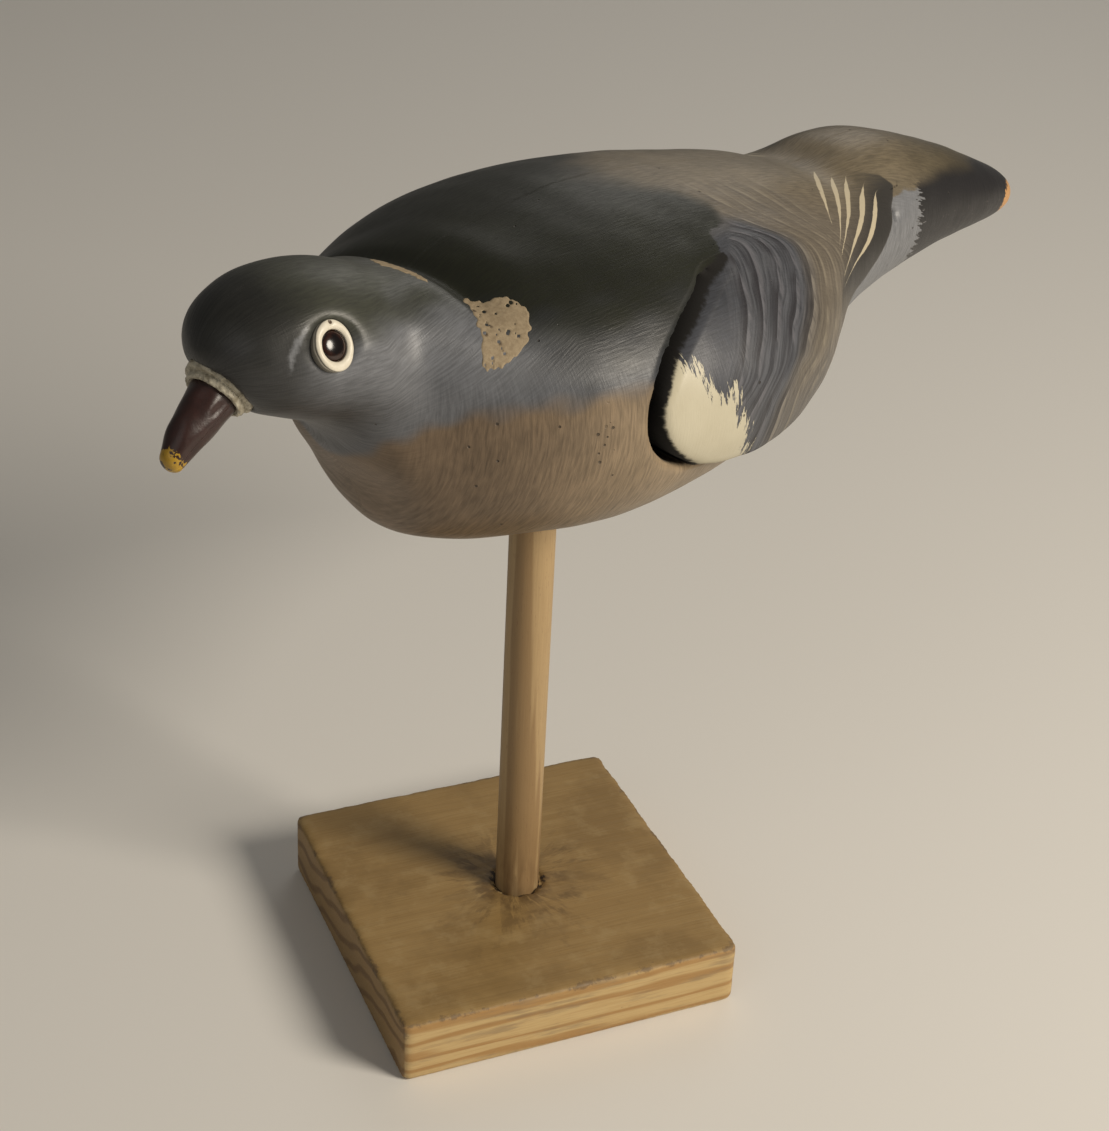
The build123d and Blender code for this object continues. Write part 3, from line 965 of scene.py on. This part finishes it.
class Nodes:
    """A short way of writing a node material."""

    def __init__(self, name, roughness, **sockets):
        self.material = bpy.data.materials.new(name)
        self.material.use_nodes = True
        self.tree = self.material.node_tree
        self.shader = self.tree.nodes["Principled BSDF"]
        self.shader.inputs["Roughness"].default_value = roughness
        for socket, value in sockets.items():
            self.shader.inputs[socket.replace("_", " ")].default_value = value

    def add(self, kind, *values, **settings):
        """A node with its settings and its first inputs filled in."""
        node = self.tree.nodes.new(kind)
        for key, value in settings.items():
            setattr(node, key, value)
        for socket, value in zip(node.inputs, values):
            self.put(socket, value)
        return node

    def put(self, socket, value):
        if isinstance(value, bpy.types.NodeSocket):
            self.tree.links.new(value, socket)
        elif isinstance(value, tuple) and socket.type == "RGBA":
            socket.default_value = (*value, 1)
        else:
            socket.default_value = value

    def field(self, name, kind="Fac"):
        return self.add("ShaderNodeAttribute", attribute_name=name).outputs[kind]

    def place(self):
        """Position in millimetres, in the piece's own axes."""
        return self.scaled(self.add("ShaderNodeTexCoord").outputs["Object"], (1 / MM,) * 3)

    def scaled(self, vector, scale):
        return self.add("ShaderNodeVectorMath", vector, scale, operation="MULTIPLY").outputs[0]

    def parts(self, vector):
        return self.add("ShaderNodeSeparateXYZ", vector).outputs

    def joined(self, x, y):
        return self.add("ShaderNodeCombineXYZ", x, y).outputs[0]

    def math(self, operation, a, b=0.0):
        return self.add("ShaderNodeMath", a, b, operation=operation).outputs[0]

    def times(self, first, *others):
        for other in others:
            first = self.math("MULTIPLY", first, other)
        return first

    def plus(self, a, b):
        return self.math("ADD", a, b)

    def noise(self, vector, scale, detail=3.0, rough=0.55, bend=0.0):
        node = self.add("ShaderNodeTexNoise")
        for key, value in (("Vector", vector), ("Scale", scale), ("Detail", detail),
                           ("Roughness", rough), ("Distortion", bend)):
            self.put(node.inputs[key], value)
        return node.outputs["Fac"]

    def grit(self, *settings):
        """Noise that is the same in every direction."""
        return self.noise(self.place(), *settings)

    def streaks(self, vector, stretch, *settings):
        """Noise drawn out along the axes that have the smaller factors."""
        return self.noise(self.scaled(vector, stretch), 1.0, *settings)

    def fray(self, field, noise, reach):
        """A field made uneven by noise, so that its edge is ragged."""
        return self.plus(field, self.step(noise, 0.3, 0.7, -reach, reach))

    def cells(self, scale):
        """Distance to the nearest of scattered points, and a random number for that point."""
        node = self.add("ShaderNodeTexVoronoi")
        self.put(node.inputs["Vector"], self.place())
        self.put(node.inputs["Scale"], scale)
        pick = self.add("ShaderNodeSeparateColor", node.outputs["Color"])
        return node.outputs["Distance"], pick.outputs[0]

    def step(self, value, low, high, start=0.0, end=1.0):
        node = self.add("ShaderNodeMapRange", value, low, high, start, end)
        node.interpolation_type = "SMOOTHSTEP"
        return node.outputs["Result"]

    def mix(self, amount, a, b, mode="MIX"):
        node = self.add("ShaderNodeMix", data_type="RGBA", blend_type=mode)
        for index, value in ((0, amount), (6, a), (7, b)):
            self.put(node.inputs[index], value)
        return node.outputs[2]

    def over(self, under, colour, *amounts):
        """A colour laid over another, as far as the product of the amounts."""
        return self.mix(self.times(*amounts), under, colour)

    def bump(self, height, strength, distance, under=None):
        node = self.add("ShaderNodeBump")
        self.put(node.inputs["Strength"], strength)
        self.put(node.inputs["Distance"], distance * MM)
        self.put(node.inputs["Height"], height)
        if under is not None:
            self.put(node.inputs["Normal"], under)
        return node.outputs["Normal"]

    def finish(self, colour, normal=None, roughness=None):
        for key, value in (("Base Color", colour), ("Normal", normal), ("Roughness", roughness)):
            if value is not None:
                self.put(self.shader.inputs[key], value)
        return self.material


def plumage_material():
    """The hand-painted bird: soft zones, brushed edges, feather lines and small damage."""
    n = Nodes("painted_plumage", roughness=0.42)
    n.shader.inputs["Specular IOR Level"].default_value = 0.45
    flow = n.field("flow", "Vector")
    lengthwise = n.streaks(flow, (0.16, 1.5, 1), 4, 0.6, 0.25)
    crosswise = n.streaks(flow, (1.4, 0.14, 1), 4, 0.6, 0.25)
    fine = n.streaks(flow, (2.6, 0.35, 1), 2, 0.5, 0.4)
    upright = n.field("upright")
    bristle = n.plus(n.times(crosswise, upright), n.times(lengthwise, n.math("SUBTRACT", 1, upright)))
    broad = n.grit(0.045, 3, 0.6)
    colour = n.field("tint", "Color")
    shade = n.plus(n.step(bristle, 0.25, 0.75, 0.72, 1.3), n.step(broad, 0.3, 0.7, -0.12, 0.12))
    grey = n.add("ShaderNodeCombineColor", shade, shade, shade).outputs[0]
    colour = n.mix(1, colour, grey, "MULTIPLY")

    # coverts: crescents with a thin pale lip and a soft dark shadow behind it
    drift = n.step(n.noise(flow, 0.035, 2), 0.2, 0.8, -1.6, 1.6)
    lane = n.plus(n.field("covert"), drift)
    round_back = n.joined(n.times(lane, 0.95), n.times(n.field("around"), 0.075))
    strokes = n.noise(round_back, 1, 4, 0.62, 0.15)
    cell = n.math("FRACT", n.math("DIVIDE", n.plus(lane, 72), 8.6))
    lip = n.math("SUBTRACT", n.step(cell, 0.62, 0.94), n.step(cell, 0.955, 1))
    shadow = n.step(cell, 0, 0.62, 1, 0)
    plumed = n.step(n.field("plumed"), 1, 5)
    outer = n.step(n.field("outer"), 34, 44)
    grey_zone = n.times(n.step(lane, 42, 30), n.step(lane, -9, -1))
    grey_zone = n.times(grey_zone, plumed, outer)
    brown_zone = n.times(n.step(lane, 3, -3), n.step(lane, -56, -44))
    inner = n.step(n.field("outer"), 12, 24)
    brown_zone = n.times(brown_zone, plumed, inner)
    broken = n.step(n.streaks(flow, (0.25, 0.05, 1), 2), 0.4, 0.6)
    streaked = n.mix(n.step(strokes, 0.3, 0.72), (0.02, 0.02, 0.024), (0.135, 0.14, 0.155))
    colour = n.over(colour, streaked, grey_zone, 0.55)
    streaked = n.mix(n.step(strokes, 0.3, 0.72), (0.055, 0.045, 0.034), (0.235, 0.2, 0.15))
    colour = n.over(colour, streaked, brown_zone, 0.4)
    strand = n.step(n.streaks(flow, (0.05, 0.06, 1), 2), 0.38, 0.62)
    dark_amount = n.times(shadow, grey_zone, n.step(strand, 0, 1, 0.3, 0.85))
    colour = n.over(colour, (0.014, 0.012, 0.015), dark_amount)
    pale_amount = n.times(lip, broken, grey_zone)
    colour = n.over(colour, (0.165, 0.16, 0.178), pale_amount, 0.5)
    brown_dark = n.times(shadow, brown_zone, 0.22)
    colour = n.over(colour, (0.04, 0.034, 0.028), brown_dark)
    brown_lip = n.times(lip, brown_zone, 0.42)
    colour = n.over(colour, (0.27, 0.235, 0.175), brown_lip, broken)

    # primaries: darker towards the wing tip, with cream stripes
    ahead = n.parts(flow)["X"]
    lane = n.field("primary_lane")
    run = n.field("primary_run")
    in_wing = n.step(n.field("wing_shape"), -0.3, 0.3)
    dusk = n.times(n.step(lane, 1, 4.6), n.step(run, 1.5, 0.9))
    dusk = n.times(dusk, in_wing, n.step(run, -0.3, -0.12))
    colour = n.over(colour, (0.022, 0.021, 0.02), dusk, 0.93)
    index = n.math("ROUND", lane)
    off = n.math("ABSOLUTE", n.math("SUBTRACT", lane, index))
    wavy = n.step(n.noise(flow, 0.22, 2), 0.3, 0.7, -0.02, 0.02)
    width = n.math("MINIMUM", n.step(run, -0.04, 0.22, 0.02, 0.21), n.step(run, 0.3, 1.1, 0.21, 0.04))
    stripe = n.step(n.math("SUBTRACT", n.plus(width, wavy), off), 0, 0.05)
    alive = n.times(n.step(index, -0.6, -0.4), n.step(index, 4.4, 4.6, 1, 0))
    alive = n.times(alive, n.times(n.step(run, -0.05, -0.02), n.step(run, 1.06, 1)))
    colour = n.over(colour, (0.47, 0.41, 0.29), stripe, alive)

    # tail: grey band, then black with a jagged front edge
    jagged = n.streaks(flow, (0.12, 0.75, 1), 3, 0.65)
    rough_edge = n.step(jagged, 0.2, 0.8, -6, 6)
    behind_wing = n.times(n.step(n.field("wing_shape"), 0.3, -0.3), n.step(ahead, -90, -96))
    band_edge = n.plus(n.field("tail_band"), rough_edge)
    low_side = n.step(n.plus(n.field("tail_top"), n.times(rough_edge, 0.15)), 0.8, -0.5)
    band = n.times(n.step(band_edge, -0.6, 0.6), n.times(low_side, behind_wing))
    grey_paint = n.mix(n.step(bristle, 0.3, 0.7), (0.125, 0.13, 0.14), (0.195, 0.2, 0.215))
    colour = n.over(colour, grey_paint, band)
    tip = n.times(n.step(band_edge, 0.6, -0.6), n.step(n.field("tail_top"), 5, -1))
    colour = n.over(colour, (0.012, 0.011, 0.012), tip, behind_wing)
    specks = n.step(n.grit(0.9, 3, 0.6), 0.66, 0.69)
    specks = n.times(specks, n.step(n.field("tail_top"), -8, -11))
    colour = n.over(colour, (0.16, 0.14, 0.13), specks, n.step(ahead, -175, -190))

    # the white shoulder patch, dry-brushed at its upper edge
    spiky = n.streaks(flow, (0.62, 0.11, 1), 4, 0.72)
    patch = n.plus(n.field("white_patch"), n.step(spiky, 0.25, 0.75, -4.5, 4.5))
    patch = n.step(patch, 0.35, -0.35)
    cream = n.mix(n.grit(0.1, 4), (0.45, 0.41, 0.3), (0.55, 0.51, 0.39))
    colour = n.over(colour, cream, patch)

    # the slot round the wing, near-black: partly dark paint and partly painted shade in the recess; then a
    # painted highlight, the pale stroke in front of the eye
    slot = n.fray(n.field("slot"), n.noise(flow, 0.6, 3), 0.25)
    slot = n.step(slot, -0.5, 0.5)
    # near-black over the slot walls: dark paint and painted shade in the recess
    colour = n.over(colour, (0.008, 0.007, 0.006), slot)
    # painted highlight: a pale stroke in front of the eye
    eye_highlight_stroke = n.fray(n.field("eye_highlight_stroke"), n.noise(flow, 0.8, 2), 0.3)
    colour = n.over(colour, (0.24, 0.25, 0.27), n.step(eye_highlight_stroke, 0.8, -0.8, 0, 0.6))

    # pits and the bare chip
    far, pick = n.cells(0.17)
    pit = n.times(n.step(far, 0.05, 0.1, 1, 0), n.step(pick, 0.8, 0.82))
    far, pick = n.cells(0.42)
    dent = n.times(n.step(far, 0.17, 0.28, 1, 0), n.step(pick, 0.25, 0.3))
    pit = n.math("MAXIMUM", pit, n.times(dent, n.step(n.field("pitted"), 1.1, 0.9)))
    colour = n.over(colour, (0.03, 0.022, 0.016), pit, 0.75)
    chip = n.step(n.fray(n.field("tail_chip"), n.grit(0.6, 3), 1.2), -0.15, 0.15, 1, 0)
    colour = n.over(colour, n.mix(n.grit(0.5, 3), (0.42, 0.2, 0.06), (0.6, 0.34, 0.14)), chip)

    normal = n.bump(bristle, 0.42, 0.25)
    normal = n.bump(fine, 0.25, 0.12, normal)
    normal = n.bump(n.math("SUBTRACT", 1, pit), 0.8, 0.6, normal)
    gloss = n.step(bristle, 0.2, 0.8, 0.5, 0.36)
    gloss = n.math("MAXIMUM", gloss, n.step(n.field("slot"), -4, -1))
    return n.finish(colour, normal, gloss)


def filler_material():
    n = Nodes("bare_filler", roughness=0.82)
    speckle = n.grit(0.9, 5, 0.65)
    broad = n.grit(0.12, 3)
    colour = n.mix(broad, (0.27, 0.205, 0.125), (0.36, 0.285, 0.185))
    colour = n.over(colour, (0.21, 0.155, 0.09), n.step(speckle, 0.4, 0.62, 0, 0.5))
    colour = n.over(colour, (0.055, 0.035, 0.02), n.field("pit"), 0.9)
    return n.finish(colour, n.bump(speckle, 0.5, 0.15))


def bill_material():
    n = Nodes("bill_plum", roughness=0.34)
    along = n.field("along")
    mottled = n.grit(0.35, 4, 0.6)
    colour = n.mix(mottled, (0.012, 0.006, 0.005), (0.042, 0.014, 0.011))
    ragged = n.plus(along, n.step(n.grit(0.45, 3, 0.7), 0.25, 0.75, -1.8, 1.8))
    tip = n.step(ragged, 21.6, 22.1)
    yellow = n.mix(mottled, (0.3, 0.17, 0.015), (0.5, 0.31, 0.03))
    colour = n.over(colour, yellow, tip)
    worn = n.step(n.fray(along, n.grit(0.3, 2), 2.6), 24.4, 24.9)
    worn = n.times(worn, n.step(n.field("top"), -0.8, 0.4))
    colour = n.over(colour, (0.035, 0.022, 0.014), worn)
    normal = n.bump(n.grit(0.9, 4), 0.25, 0.25)
    return n.finish(colour, n.bump(n.math("SUBTRACT", 1, worn), 0.6, 0.2, normal))


def cere_material():
    n = Nodes("cere_putty_paint", roughness=0.55)
    patchy = n.grit(0.45, 5, 0.65)
    colour = n.mix(n.step(patchy, 0.35, 0.6), (0.27, 0.235, 0.165), (0.5, 0.46, 0.36))
    grime = n.step(n.grit(0.9, 3), 0.58, 0.72)
    colour = n.over(colour, (0.09, 0.065, 0.04), grime, 0.45)
    return n.finish(colour, n.bump(patchy, 0.7, 0.35))


def eye_ring_material():
    n = Nodes("eye_ring_cream", roughness=0.38)
    patchy = n.grit(0.5, 4)
    colour = n.mix(patchy, (0.6, 0.55, 0.44), (0.78, 0.73, 0.62))
    # painted shade: a dark line round the ring's outer rim, where it stands proud of the head
    rim = n.step(n.field("radius"), 7.12, 7.42)
    colour = n.over(colour, (0.03, 0.025, 0.02), rim, 0.9)
    inner = n.step(n.field("radius"), 4.75, 4.5)
    colour = n.over(colour, (0.16, 0.09, 0.04), inner, 0.75)
    colour = n.over(colour, (0.1, 0.07, 0.045), n.step(n.field("notch"), 0.35, 0.6))
    return n.finish(colour, n.bump(patchy, 0.2, 0.2))


def eye_material():
    n = Nodes("eye_dark_amber", roughness=0.17)
    radius = n.fray(n.field("radius"), n.grit(0.5, 2), 0.5)
    colour = n.mix(n.step(radius, 2.2, 3.4), (0.004, 0.002, 0.002), (0.022, 0.007, 0.004))
    return n.finish(n.over(colour, (0.008, 0.004, 0.003), n.step(radius, 3.8, 4.4)))


def board_material():
    """Old pine: warm face with faint grain, stained rays round the peg, layered edges."""
    n = Nodes("old_pine", roughness=0.58)
    board = n.field("board", "Vector")
    along, across, up = n.parts(board)
    on_top = n.step(up, 23.3, 24.2)
    soft = n.streaks(board, (0.004, 0.035, 0.035), 2, 0.4, 0.2)
    rings = n.math("SINE", n.plus(n.times(across, 0.55), n.times(soft, 22)))
    fibre = n.streaks(board, (0.05, 1.5, 1.5), 4, 0.6)
    face = n.mix(n.step(rings, -0.9, 0.9, 0.35, 0.65), (0.27, 0.168, 0.056), (0.345, 0.228, 0.088))
    face = n.over(face, (0.215, 0.128, 0.042), n.step(fibre, 0.38, 0.7, 0, 0.35))
    patchy = n.grit(0.03, 4, 0.6)
    face = n.over(face, (0.2, 0.122, 0.04), n.step(patchy, 0.45, 0.66, 0, 0.55))
    worn_light = n.grit(0.075, 4, 0.65)
    face = n.over(face, (0.4, 0.29, 0.135), n.step(worn_light, 0.5, 0.66, 0, 0.3))
    # edges: growth layers seen from the side, and end grain
    layer = n.streaks(board, (0.01, 0.03, 0.16), 3, 0.5, 0.3)
    bands = n.math("SINE", n.plus(up, n.times(layer, 10)))
    edge = n.mix(n.step(bands, -0.2, 1), (0.52, 0.37, 0.17), (0.36, 0.205, 0.07))
    edge = n.over(edge, (0.42, 0.265, 0.105), n.step(fibre, 0.42, 0.7, 0, 0.55))
    smudge = n.step(n.streaks(board, (0.03, 0.1, 0.25), 4, 0.65), 0.52, 0.7)
    edge = n.over(edge, (0.2, 0.145, 0.085), smudge, 0.5)
    rise = n.plus(n.times(up, 0.75), n.times(across, 0.2))
    end = n.math("SINE", n.plus(rise, n.times(n.noise(board, 0.02, 2), 22)))
    end_grain = n.mix(n.step(end, 0, 0.95), (0.31, 0.195, 0.078), (0.185, 0.105, 0.038))
    pores = n.grit(2.2, 2)
    end_grain = n.over(end_grain, (0.15, 0.085, 0.032), n.step(pores, 0.5, 0.75, 0, 0.4))
    at_end = n.step(n.math("ABSOLUTE", along), 62.3, 63)
    edge = n.over(edge, end_grain, at_end)
    colour = n.over(edge, face, on_top)
    # dark stains round the peg, and painted shade in the crevice round the hole
    gap = n.field("hole_gap")
    turn = n.math("ARCTAN2", across, along)
    rays = n.noise(n.joined(n.times(turn, 3.1), n.times(gap, 0.035)), 1, 4, 0.7)
    reach = n.math("SUBTRACT", n.times(n.step(rays, 0.35, 0.68), 44), gap)
    stain = n.times(n.step(reach, -6, 16), n.step(gap, 0, 30, 0.75, 0.25))
    blot = n.step(n.grit(0.09, 4, 0.65), 0.4, 0.62)
    stain = n.times(stain, n.plus(0.35, n.times(blot, 0.65)))
    colour = n.over(colour, (0.07, 0.036, 0.012), stain, on_top)
    # painted shade: a dark ring in the crevice at the edge of the peg hole
    ring = n.step(n.fray(gap, n.grit(0.42, 3), 1.5), 0.7, 1.8, 0.95, 0)
    colour = n.over(colour, (0.025, 0.014, 0.008), ring, n.step(up, 20, 23))
    # dark knocks along the arrises and small scratches
    arris = n.plus(n.field("edge_gap"), n.step(n.grit(0.1, 5, 0.75), 0.3, 0.7, -1.6, 2.6))
    knock = n.times(n.step(arris, 0, 1.6, 0.65, 0), n.step(up, 12, 20))
    colour = n.over(colour, (0.13, 0.085, 0.045), knock)
    fleck = n.step(n.streaks(board, (0.25, 0.9, 0.9), 3, 0.7), 0.7, 0.74)
    colour = n.over(colour, (0.12, 0.07, 0.03), fleck, 0.5)
    normal = n.bump(fibre, 0.35, 0.25)
    normal = n.bump(bands, 0.1, 0.25, normal)
    return n.finish(colour, normal, n.step(fibre, 0.2, 0.8, 0.5, 0.68))


def dowel_material():
    n = Nodes("pale_dowel", roughness=0.55)
    place = n.place()
    fibre = n.streaks(place, (1.6, 1.6, 0.05), 4, 0.65, 0.2)
    broad = n.streaks(place, (0.16, 0.16, 0.006), 2, 0.5)
    colour = n.mix(fibre, (0.31, 0.205, 0.095), (0.46, 0.325, 0.165))
    colour = n.over(colour, (0.2, 0.115, 0.045), n.step(broad, 0.5, 0.58, 0, 0.6))
    pores = n.streaks(place, (2.4, 2.4, 0.28), 2)
    colour = n.over(colour, (0.2, 0.11, 0.05), n.step(pores, 0.62, 0.72, 0, 0.5))
    foot = n.step(n.parts(place)["Z"], 26, 60, 0.45, 0)
    grime = n.step(n.streaks(place, (0.3, 0.3, 0.08), 4), 0.35, 0.65)
    colour = n.over(colour, (0.14, 0.08, 0.035), foot, grime)
    return n.finish(colour, n.bump(fibre, 0.3, 0.2))


def hidden_wood():
    n = Nodes("hidden_dowel", roughness=0.6)
    grain = n.streaks(n.place(), (0.3, 0.3, 1.5), 3)
    return n.finish(n.mix(grain, (0.36, 0.24, 0.12), (0.5, 0.35, 0.19)), n.bump(grain, 0.3, 0.2))


def wire_material():
    n = Nodes("pin_wire", roughness=0.35, Metallic=1)
    drawn = n.grit(2, 2)
    return n.finish(n.mix(drawn, (0.42, 0.41, 0.4), (0.6, 0.59, 0.57)), n.bump(drawn, 0.2, 0.05))


# ---- floor, light and camera ----

def make_stage():
    size = 3000
    floor = mesh_from("floor", [(-size, -size, -0.2), (size, -size, -0.2), (size, size, -0.2),
                                (-size, size, -0.2)], [(0, 1, 2, 3)], False)
    n = Nodes("pale_floor", roughness=0.75)
    floor.data.materials.append(n.finish((0.78, 0.76, 0.72)))


def make_light(name, place, target, size, power, colour, shine):
    light = bpy.data.lights.new(name, "AREA")
    light.shape = "DISK"
    light.size = size
    light.energy = power
    light.color = colour
    light.specular_factor = shine
    obj = new_object(name, light)
    obj.location = place
    obj.rotation_mode = "QUATERNION"
    obj.rotation_quaternion = (Vector(target) - Vector(place)).to_track_quat("-Z", "Y")


def make_lights():
    target = (0, 0, 0.22)
    make_light("key", (1.4, 0.42, 1.05), target, 0.7, 29, (1.0, 0.91, 0.78), 1.0)
    make_light("fill", (0.5, -1.7, 1.2), target, 1.6, 3.5, (1.0, 0.97, 0.92), 0.15)
    make_light("back", (-0.9, 1.6, 1.3), target, 1.2, 4, (1.0, 0.96, 0.9), 0.3)
    world = bpy.data.worlds.new("studio")
    world.use_nodes = True
    glow = world.node_tree.nodes["Background"]
    glow.inputs["Color"].default_value = (1.0, 0.96, 0.89, 1)
    glow.inputs["Strength"].default_value = 0.13
    bpy.context.scene.world = world


def make_camera():
    data = bpy.data.cameras.new("camera")
    data.sensor_width = 36.0
    data.lens = 69.67
    data.clip_end = 50
    cam = new_object("camera", data)
    ahead = Vector((-0.59058, 0.63332, -0.50011)).normalized()
    right = Vector((0.71274, 0.70000, 0.04477)).normalized()
    up = right.cross(ahead).normalized()
    turn = Matrix((right, up, -ahead)).transposed()
    cam.matrix_world = Matrix.Translation((0.4454, -0.4659, 0.5318)) @ turn.to_4x4()
    bpy.context.scene.camera = cam


def dress_hidden_pieces():
    wood, wire = hidden_wood(), wire_material()
    for node, material in (("neck_dowel", wood), ("left_wing_pins", wood), ("right_wing_pins", wood),
                           ("left_eye_pin", wire), ("right_eye_pin", wire)):
        mesh = frame["nodes"][node].data
        mesh.materials.clear()
        mesh.materials.append(material)


bpy.context.scene.view_settings.view_transform = "Standard"
make_stage()
make_lights()
make_camera()
bird = make_bird()
make_filler(bird)
make_bill()
make_cere()
make_eye(1, "left")
make_eye(-1, "right")
make_board()
make_peg()
dress_hidden_pieces()
